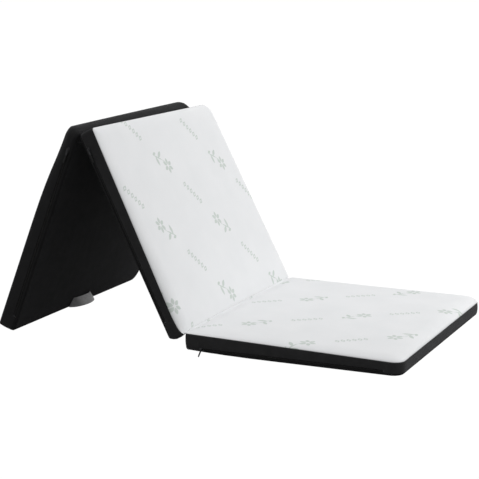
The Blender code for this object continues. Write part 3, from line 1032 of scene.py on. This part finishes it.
def print_mask(build, u, v):
    """Sprays and rows of lozenges by turns in slanted rows, some of them turned about"""
    c, s = math.cos(PRINT_SLANT), math.sin(PRINT_SLANT)
    along = build.add(build.mul(u, c), build.mul(v, s))
    across = build.sub(build.mul(v, c), build.mul(u, s))
    row_at = build.math("MULTIPLY_ADD", across, 1 / PRINT_ROW, FIRST_ROW)
    row, y = cell_of(build, row_at, PRINT_ROW)
    moved = build.math("MULTIPLY_ADD", row, PRINT_STAGGER * PRINT_STEP, along)
    step_at = build.math("MULTIPLY_ADD", moved, 1 / PRINT_STEP, FIRST_STEP)
    step, x = cell_of(build, step_at, PRINT_STEP)
    kind = build.math("MODULO", step, 2.0)
    pair = build.math("FLOOR", build.mul(step, 0.5))
    turned = build.math("MODULO", build.add(row, pair), 2.0)
    sign = build.math("MULTIPLY_ADD", turned, -2.0, 1.0)
    x = build.mul(x, sign)
    y = build.mul(y, sign)
    spray = build.mul(blossom(build, x, y), build.sub(1.0, kind))
    marks = build.mul(lozenges(build, x, y), kind)
    return build.math("MAXIMUM", spray, marks)


# Materials

# Hard and woven finishes: name, both colours, roughness, metallic, the grain's scale and depth, and gloss
GRAINS = {
    "thread": ("thread", (0.014, 0.014, 0.014), (0.022, 0.022, 0.022), 0.60, 0.0, 2500.0, 0.0001, 0.5),
    "coil": ("zip_coil", (0.008, 0.008, 0.008), (0.012, 0.012, 0.012), 0.62, 0.0, 900.0, 0.0001, 0.2),
    "tape": ("zip_tape", (0.008, 0.008, 0.008), (0.013, 0.013, 0.013), 0.88, 0.0, 1500.0, 0.0002, 0.1),
    "metal": ("zip_metal", (0.018, 0.018, 0.019), (0.036, 0.036, 0.038), 0.50, 1.0, 500.0, 0.00005, 0.5),
    "tail": ("pull_tail", (0.009, 0.009, 0.009), (0.015, 0.015, 0.015), 0.85, 0.0, 1200.0, 0.0002, 0.2),
}


def knit_material():
    """White knit: fine ribs and a soft quilting, with a pale print"""
    build = Nodes("white_knit")
    metres = build.metres()
    u, v = build.split(metres)
    ink = print_mask(build, u, v)
    cloudy = build.span(build.noise(metres, 9.0, 3.0), 0.3, 0.7)
    ground = build.mix(cloudy, (0.765, 0.775, 0.785, 1.0), (0.795, 0.802, 0.812, 1.0))
    speck = build.noise(metres, 900.0, 1.0)
    inked = build.mul(ink, build.span(speck, 0.25, 0.65, 0.72, 1.0))
    ribs = build.mul(waves(build, u, 0.0016), waves(build, v, 0.0012))
    quilt = build.noise(metres, 55.0, 2.0)
    height = build.add(build.mul(ribs, 0.35), build.mul(quilt, 0.65))
    raised = build.add(height, build.mul(ink, 0.5))
    return build.shade({
        "Base Color": build.mix(build.mul(inked, 0.95), ground, (0.53, 0.585, 0.545, 1.0)),
        "Roughness": 0.93,
        "Specular IOR Level": 0.18,
        "Sheen Weight": 0.08,
        "Sheen Roughness": 0.6,
        "Normal": build.bump(raised, 0.0005, 0.5),
    })


def dark_material(name, base, fuzz, gloss=0.12):
    """Matte brushed cloth: a fine twill with soft fuzz"""
    build = Nodes(name)
    metres = build.metres()
    u, v = build.split(metres)
    blotch = build.span(build.noise(metres, 30.0, 4.0, 0.6), 0.3, 0.7)
    dark = (*(part * 0.85 for part in base), 1.0)
    light = (*(part * 1.25 for part in base), 1.0)
    twill = waves(build, build.add(u, v), 0.0014)
    cross = waves(build, build.sub(u, v), 0.0021)
    grain = build.noise(metres, 700.0, 2.0)
    height = build.add(build.mul(build.mul(twill, cross), 0.6), build.mul(grain, 0.4))
    return build.shade({
        "Base Color": build.mix(blotch, dark, light),
        "Roughness": 0.92,
        "Specular IOR Level": gloss,
        "Sheen Weight": fuzz,
        "Sheen Roughness": 0.45,
        "Sheen Tint": (0.55, 0.56, 0.60, 1.0),
        "Normal": build.bump(height, 0.0004, 0.6),
    })


def webbing_material():
    """Grey woven webbing: ribs across its length and along it, unevenly worn"""
    build = Nodes("webbing")
    metres = build.metres()
    u, v = build.split(metres)
    weave = build.mul(build.add(waves(build, u, 0.0018), waves(build, v, 0.0022)), 0.5)
    worn = build.noise(metres, 60.0, 3.0)
    tone = build.span(build.add(build.mul(weave, 0.35), build.mul(worn, 0.65)), 0.3, 0.7)
    return build.shade({
        "Base Color": build.mix(tone, (0.08, 0.08, 0.082, 1.0), (0.19, 0.19, 0.194, 1.0)),
        "Roughness": 0.42,
        "Specular IOR Level": 0.8,
        "Sheen Weight": 0.30,
        "Normal": build.bump(weave, 0.0005, 0.8),
    })


def foam_material():
    """Cream open-cell foam with pores, painted darker in their hollows as shade"""
    build = Nodes("foam")
    pores = build.node("ShaderNodeTexVoronoi")
    build.link(build.metres(), pores.inputs["Vector"])
    pores.inputs["Scale"].default_value = 420.0
    # Painted shade: the pore depth that sinks the bump also darkens the colour in the hollows
    depth = build.span(pores.outputs["Distance"], 0.1, 0.5)
    return build.shade({
        "Base Color": build.mix(depth, (0.60, 0.55, 0.40, 1.0), (0.80, 0.76, 0.60, 1.0)),
        "Roughness": 1.0,
        "Normal": build.bump(depth, 0.001, 0.6),
    })


def solid_grain(name, dark, light, roughness, metallic, scale, depth, gloss):
    """A hard or woven finish that is broken up by grain in the object's own space"""
    build = Nodes(name)
    place = build.node("ShaderNodeTexCoord").outputs["Object"]
    grain = build.noise(place, scale, 4.0, 0.6)
    share = build.span(grain, 0.3, 0.7)
    return build.shade({
        "Base Color": build.mix(share, (*dark, 1.0), (*light, 1.0)),
        "Roughness": build.span(grain, 0.2, 0.8, roughness - 0.08, roughness + 0.08),
        "Metallic": metallic,
        "Specular IOR Level": gloss,
        "Normal": build.bump(grain, depth, 0.5),
    })


# Studio

# How strong the surroundings are as a light, beside the white that is seen
FILL = 0.475

# The floor: half its width, how far it lies below the feet, its glow and the share of that which is seen
FLOOR_HALF = 40.0
FLOOR_DROP = 0.0004
FLOOR_GLOW = 1.12
FLOOR_SHOWN = 0.90

# Lights: name, place, what they face, size and power
LIGHTS = (
    ("key", (2.6, 1.1, 2.2), (0.0, 0.0, 0.2), (2.2, 2.2), 54.5),
    ("top", (-0.4, 0.7, 3.2), (-0.2, 0.0, 0.2), (3.0, 3.0), 26.0),
    ("back", (0.9, 3.0, 0.7), (-0.5, 0.2, 0.15), (2.0, 1.2), 20.0),
    ("front", (-0.6, -3.2, 1.4), (-0.3, 0.0, 0.2), (2.6, 1.6), 9.0),
)

# The photo's camera, found from the straight edges: direction in degrees, distance, what it faces, and sensor
AZIMUTH = 24.075
ELEVATION = 11.185
DISTANCE = 4.6034
TARGET = (-0.3244, 0.0, 0.2504)
SENSOR = 36.0

# The camera's lens and the photo's width, both in pixels
LENS_PIXELS = 1526.09
PHOTO_PIXELS = 479


def floor_material():
    """A pale floor that a camera sees as white but for the object's soft shadow"""
    build = Nodes("pale_floor")
    build.shade({"Base Color": (0.30, 0.30, 0.30, 1.0), "Roughness": 0.9, "Specular IOR Level": 0.1})
    glow = build.node("ShaderNodeEmission")
    glow.inputs["Color"].default_value = (1.0, 1.0, 1.0, 1.0)
    glow.inputs["Strength"].default_value = FLOOR_GLOW
    blend = build.node("ShaderNodeMixShader")
    build.link(build.mul(build.seen(), FLOOR_SHOWN), blend.inputs[0])
    build.link(build.shader.outputs[0], blend.inputs[1])
    build.link(glow.outputs[0], blend.inputs[2])
    build.link(blend.outputs[0], build.tree.nodes["Material Output"].inputs["Surface"])
    return build.material


def floor():
    """A wide floor that belongs to the studio"""
    half = FLOOR_HALF
    points = [(-half, -half, 0.0), (half, -half, 0.0), (half, half, 0.0), (-half, half, 0.0)]
    obj = mesh_object("floor", points, [(0, 1, 2, 3)], smooth=False)
    obj.location.z = -FLOOR_DROP
    obj.data.materials.append(floor_material())


def world():
    """Surroundings that are white where they are seen, and weaker where they light"""
    made = bpy.data.worlds.new("studio")
    made.use_nodes = True
    build = Tree(made.node_tree)
    back = build.tree.nodes["Background"].inputs
    back["Color"].default_value = (1.0, 1.0, 1.0, 1.0)
    build.link(build.span(build.seen(), 0.0, 1.0, FILL, 1.0), back["Strength"])
    bpy.context.scene.world = made


def area_light(name, place, target, size, power):
    """A rectangular light that faces a point"""
    data = bpy.data.lights.new(name, "AREA")
    data.shape = "RECTANGLE"
    data.size, data.size_y = size
    data.energy = power
    obj = add_object(name, data)
    obj.location = place
    obj.rotation_euler = (Vector(target) - Vector(place)).to_track_quat("-Z", "Y").to_euler()


def camera():
    """The photo's camera"""
    azimuth, elevation = math.radians(AZIMUTH), math.radians(ELEVATION)
    back = Vector((
        math.sin(azimuth) * math.cos(elevation),
        -math.cos(azimuth) * math.cos(elevation),
        math.sin(elevation),
    ))
    data = bpy.data.cameras.new("camera")
    data.sensor_width = SENSOR
    data.lens = SENSOR * LENS_PIXELS / PHOTO_PIXELS
    obj = add_object("camera", data)
    obj.location = Vector(TARGET) + DISTANCE * back
    obj.rotation_euler = (-back).to_track_quat("-Z", "Y").to_euler()
    bpy.context.scene.camera = obj


def studio():
    """Floor, surroundings, lights, camera and view"""
    floor()
    world()
    for light in LIGHTS:
        area_light(*light)
    camera()
    bpy.context.scene.view_settings.view_transform = "Standard"


# Everything together

# The looks of the zip's CAD nodes
ZIP_LOOKS = {
    "zip_tape_upper_": "tape",
    "zip_tape_lower_": "tape",
    "zip_stop_low_": "metal",
    "zip_stop_high_": "metal",
    "zip_slider_": "metal",
    "zip_pull_": "metal",
}


def dress_panel(panel, looks):
    """A panel's cover, foam and zip, each on its body and in place of its CAD node"""
    name = panel.name
    knit = finish_with(knit_top(panel), looks["knit"])
    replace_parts(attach(knit, panel.body), "knit_top_" + name)
    # The band takes its panel's own copy of the dark cloth, whose tone is painted lighter or darker as light
    # and shade
    band = finish_with(side_border(panel), looks["dark_" + name])
    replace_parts(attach(band, panel.body), "side_border_" + name)
    stitches = finish_with(seam_stitches(panel), looks["thread"])
    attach(stitches, panel.body)
    base = finish_with(base_cloth(panel), looks["base"])
    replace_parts(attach(base, panel.body), "underside_" + name)
    foam = finish_with(foam_block(panel), looks["foam"])
    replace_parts(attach(foam, panel.body), "foam_core_" + name)
    teeth = finish_with(zip_teeth(panel), looks["coil"])
    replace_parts(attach(teeth, panel.body), "zip_coil_" + name)
    tail = finish_with(pull_strip(panel), looks["tail"])
    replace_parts(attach(tail, "pull_" + name), "pull_tail_" + name)
    for node, look in ZIP_LOOKS.items():
        obj = frame["nodes"][node + name]
        obj.data.materials.clear()
        obj.data.materials.append(looks[look])
        if look == "metal":
            round_edges(obj, "rounding", METAL_ROUND)


def dress():
    """The three panels, both folds and the handle"""
    looks = {
        "knit": knit_material(),
        # Lit and shaded copies of one dark cloth: painted lightest on the first panel, and painted darkest,
        # as shade, on the third panel
        "dark_a": dark_material("dark_fabric_a_painted_light", (0.0216, 0.0216, 0.0222), 0.11),
        "dark_b": dark_material("dark_fabric_b_painted_light", (0.0185, 0.0185, 0.0190), 0.12),
        "dark_c": dark_material("dark_fabric_c_painted_shade", (0.0122, 0.0122, 0.0126), 0.07),
        "base": dark_material("dark_base", (0.0130, 0.0130, 0.0134), 0.05, 0.06),
        "foam": foam_material(),
        **{look: solid_grain(*grain) for look, grain in GRAINS.items()},
        "webbing": webbing_material(),
    }
    for panel in PANELS.values():
        dress_panel(panel, looks)
    gusset = finish_with(white_fold(), looks["knit"])
    # The dark tape takes the third panel's copy, which is painted darker as shade
    tape = finish_with(black_fold(), looks["dark_c"])
    handle = finish_with(webbing_loop(), looks["webbing"])
    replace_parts(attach(handle, "handle"), "carry_handle")


dress()
studio()
